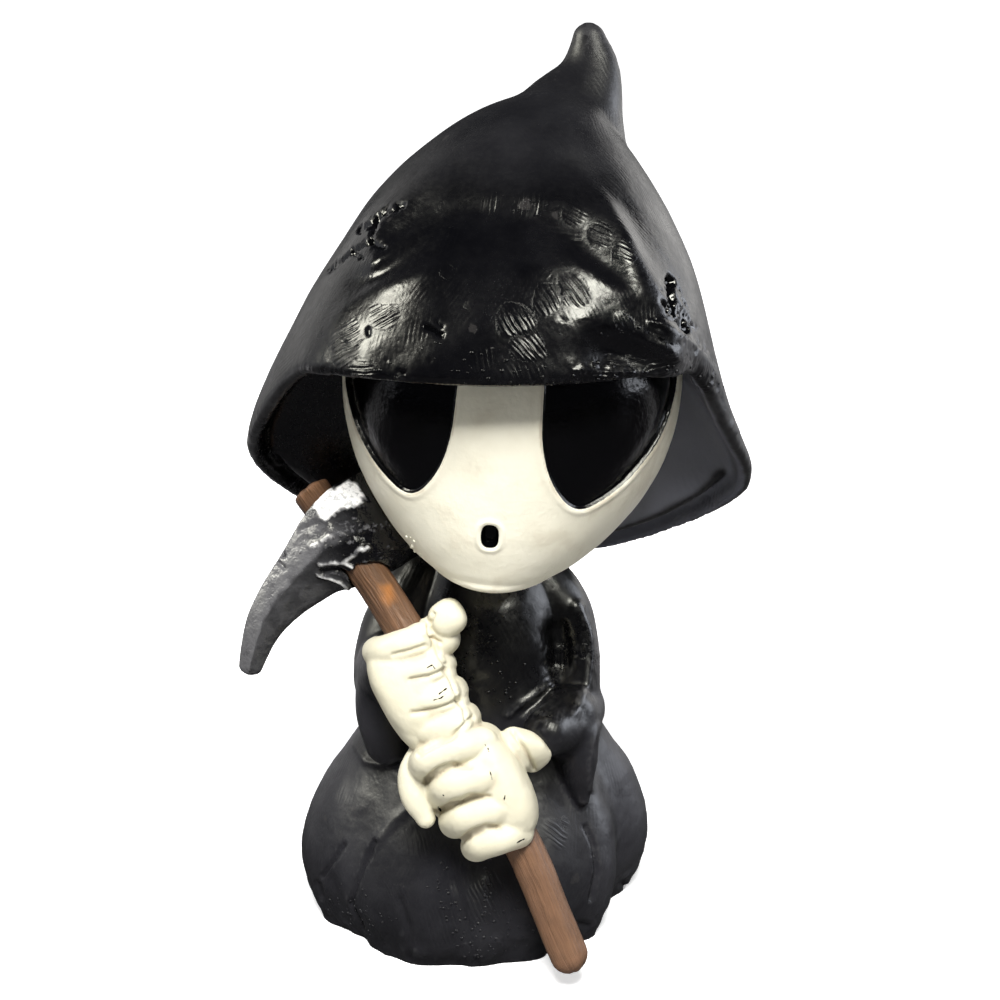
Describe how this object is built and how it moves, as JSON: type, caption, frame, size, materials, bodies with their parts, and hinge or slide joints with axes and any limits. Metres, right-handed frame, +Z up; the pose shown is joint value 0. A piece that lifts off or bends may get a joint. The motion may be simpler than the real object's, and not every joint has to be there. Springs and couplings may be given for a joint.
{
  "type": "grim reaper figurine",
  "caption": "Standing hooded grim reaper figurine with a deep cowl and an oversized mask-like face, both fists closed on a short scythe; rests on its flat underside.",
  "frame": {"origin": "centre of the robe's flat underside, on the ground plane", "axes": "+Z up along the figure, the face looks along -Y, +X towards the figure's left hand"},
  "size_m": [0.1422, 0.1136, 0.2497],
  "materials": {
    "figure_paint": "cast resin brush-painted black, satin to glossy, over rasp and bristle marks; face and fists cream-white with small black chips; eyes and mouth glossy black",
    "handle_paint": "whittled stick with streaky satin brown paint, more orange near the top",
    "blade_paint": "lumpy cast resin, gloss black dry-brushed with silver along the outer edge"
  },
  "bodies": {
    "root": {"reaper_figure": "figure_paint", "scythe_handle": "handle_paint", "scythe_blade": "blade_paint"}
  },
  "joints": []
}
